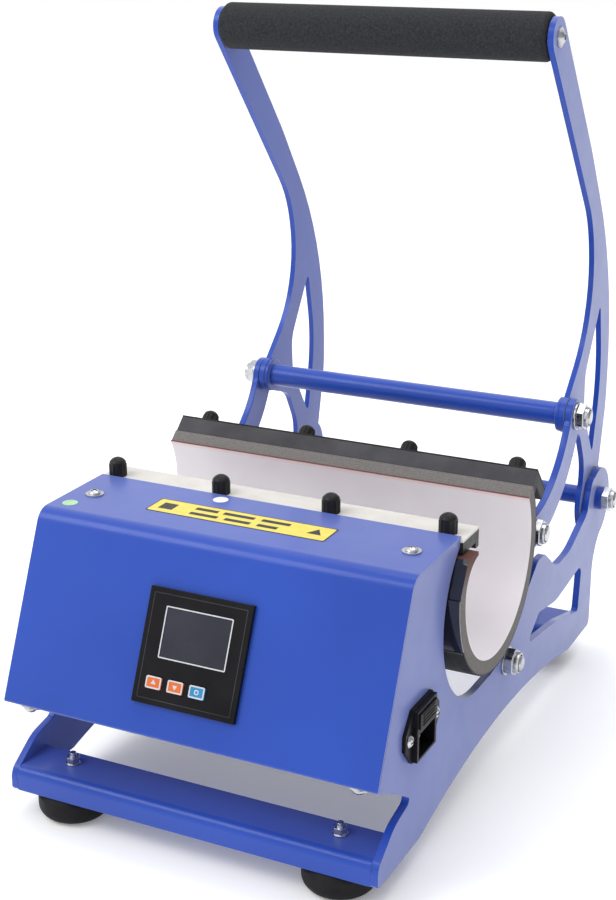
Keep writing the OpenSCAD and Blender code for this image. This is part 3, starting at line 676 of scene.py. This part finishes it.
def gripSleeve():                              # foam sleeve with soft rounded ends
    low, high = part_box("grip_foam")
    axis, outer, e = ((low.y + high.y) / 2, (low.z + high.z) / 2), (high.z - low.z) / 2, grip["end"]
    turns = [pi / 2 * step / grip["cornerSteps"] for step in range(grip["cornerSteps"] + 1)]
    corner = [(e * (1 - cos(turn)), outer - e * (1 - sin(turn))) for turn in turns]
    profile = [(low.x, grip["bore"])] + [(low.x + along, radius) for along, radius in corner]
    profile += [(high.x - along, radius) for along, radius in reversed(corner)] + [(high.x, grip["bore"])]
    bm = bmesh.new()
    lathe(bm, profile + [profile[0]], axis, steps=grip["turnSteps"])
    bmesh.ops.recalc_face_normals(bm, faces=bm.faces)
    finishMesh(bm, "gripSleeve", finishes["grip_sleeve"], "handle", ["grip_foam"])


gripSleeve()

fastener = {
    "rodRadius": 5 * mm, "chamfer": 0.9 * mm, "threadLong": 13 * mm, "threadDepth": 0.45 * mm,
    "pitch": 1.5 * mm, "crest": 0.25, "root": (0.6, 0.7),   # ends of the crest and the root, in shares of it
    "flats": 17 * mm, "hexTurn": 30, "hexEase": 0.7 * mm,
    "headLong": 6.4 * mm, "headBack": 6.6 * mm, "shankSunk": 0.4 * mm,
    "washer": 1.6 * mm, "washerRadius": 10 * mm, "washerEdge": 0.3 * mm, "washerBack": 0.2 * mm,
    "hexShare": 0.66, "collarShare": 0.43, "collarSunk": 0.5 * mm,
    # the rolled collar, in mm: back from the nut's end and in from its own radius
    "collar": [(1.2, 0), (0.35, 0.35), (0, 1.1), (0.5, 1.5), (0.8, 1.5)],
    "insertBack": 0.8 * mm, "insertIn": 1.4 * mm, "sharp": 32, "crossGap": 0.2 * mm,
}


def threaded(x0, x1):                          # the threaded end of a rod, from x0 out to its tip at x1
    f = fastener
    crest, root, x, points = f["rodRadius"], f["rodRadius"] - f["threadDepth"], x0, []
    while x < x1 - f["chamfer"] - f["pitch"]:
        points += [(x, crest), (x + f["pitch"] * f["crest"], crest), (x + f["pitch"] * f["root"][0], root),
                   (x + f["pitch"] * f["root"][1], root)]
        x += f["pitch"]
    return points + [(x, crest), (x1 - f["chamfer"], crest), (x1, crest - f["chamfer"]), (x1, 0)]


def hexagon(bm, x0, long, centre):             # from x0 along x, with its rims eased
    radius = fastener["flats"] / 3 ** 0.5
    made = bmesh.ops.create_cone(bm, cap_ends=True, segments=6, radius1=radius, radius2=radius,
                                 depth=long)["verts"]
    turn = Matrix.Rotation(radians(fastener["hexTurn"]), 4, "X") @ Matrix.Rotation(pi / 2, 4, "Y")
    bmesh.ops.transform(bm, matrix=Matrix.Translation((x0 + long / 2, *centre)) @ turn, verts=made)
    edges = {e for v in made for e in v.link_edges}
    rims = [e for e in edges if abs(e.verts[0].co.x - e.verts[1].co.x) < partWeld]
    bmesh.ops.bevel(bm, geom=rims, offset=fastener["hexEase"], affect="EDGES", segments=3, profile=0.5,
                    material=-1)


def mirrored(bm):                              # the same again on the other side of the machine
    copy = bmesh.ops.duplicate(bm, geom=bm.verts[:] + bm.edges[:] + bm.faces[:])["geom"]
    bmesh.ops.scale(bm, vec=(-1, 1, 1), verts=movedVerts(copy))
    bmesh.ops.recalc_face_normals(bm, faces=bm.faces)


def boltLine(node):                            # where a node's axis runs, and how far out it reaches
    return (middle(node).y, middle(node).z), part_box(node)[1].x


def finishFastener(bm, name, node, finish=finishes["zinc_steel"]):
    finishMesh(bm, name, finish, ownBody[node], [node], fastener["sharp"])


def lockNut(name, node, x0, washer):           # hexagon, rolled collar and its dark insert, on both sides
    f, (centre, end) = fastener, boltLine(node)
    bore, rim, edge = f["rodRadius"], f["washerRadius"], f["washerEdge"]
    bm = bmesh.new()
    if washer:
        lathe(bm, [(x0, bore), (x0, rim - f["washerBack"]), (x0 + edge, rim), (x0 + washer - edge, rim),
                   (x0 + washer, rim - edge), (x0 + washer, bore), (x0, bore)], centre)
    start = x0 + washer
    long = (end - start) * f["hexShare"]
    hexagon(bm, start, long, centre)
    collar = f["flats"] * f["collarShare"]
    profile = [(start + long - f["collarSunk"], collar)]
    lathe(bm, profile + [(end - back * mm, collar - inward * mm) for back, inward in f["collar"]], centre)
    insert = end - f["insertBack"]
    lathe(bm, [(insert, collar - f["insertIn"]), (insert, bore)], centre, 1)
    mirrored(bm)
    finishFastener(bm, name, node, [finishes["zinc_steel"], nutCollar])


def longRod(name, node):                       # one rod right through, threaded at both ends
    centre, end = boltLine(node)
    bm = bmesh.new()
    lathe(bm, [(0, fastener["rodRadius"])] + threaded(end - fastener["threadLong"], end), centre)
    mirrored(bm)
    bmesh.ops.remove_doubles(bm, verts=bm.verts, dist=fineWeld)
    finishFastener(bm, name, node)


def headedBolt(name, node, head):              # a bolt with its head on the inside, on both sides
    f, (centre, end) = fastener, boltLine(node)
    shank = head + f["headLong"] - f["shankSunk"]
    bm = bmesh.new()
    hexagon(bm, head, f["headLong"], centre)
    lathe(bm, [(shank, 0), (shank, f["rodRadius"])] + threaded(end - f["threadLong"], end), centre)
    mirrored(bm)
    finishFastener(bm, name, node)


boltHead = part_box("jaw_arm_right")[0].x - fastener["headBack"]
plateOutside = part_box("side_plate_right")[1].x
lockNut("jawPivotNuts", "jaw_pivot_nuts", plateOutside, fastener["washer"])
lockNut("linkNuts", "link_nuts", plateOutside, 0)
lockNut("crossNuts", "cross_nuts", plateOutside + fastener["crossGap"], fastener["washer"])
lockNut("rearRodNuts", "rear_rod_nuts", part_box("rear_rod_spacers")[1].x, 0)
longRod("crossRod", "cross_rod")
longRod("rearRod", "rear_rod")
headedBolt("jawPivotBolts", "jaw_pivot_bolts", boltHead)
headedBolt("linkBolts", "link_bolts", boltHead)
print("grip and fasteners made")

floor = {"size": 60.0, "glow": 0.15, "tones": ((0.93, 0.93, 0.93), (0.96, 0.96, 0.96))}


def makeFloor():
    f = Finish("paleFloor", {"Specular IOR Level": 0.1, "Emission Color": tint(1, 1, 1),
                             "Emission Strength": floor["glow"]})
    f.set("Base Color", f.blotch(f.noise(3.0, 2.0), *floor["tones"]))
    f.set("Roughness", f.range(f.noise(8.0, 2.0), 0.75, 0.85))
    bm = bmesh.new()
    bmesh.ops.create_grid(bm, x_segments=1, y_segments=1, size=floor["size"] / 2)
    finishMesh(bm, "floor", f, None)


makeFloor()
print("floor laid")
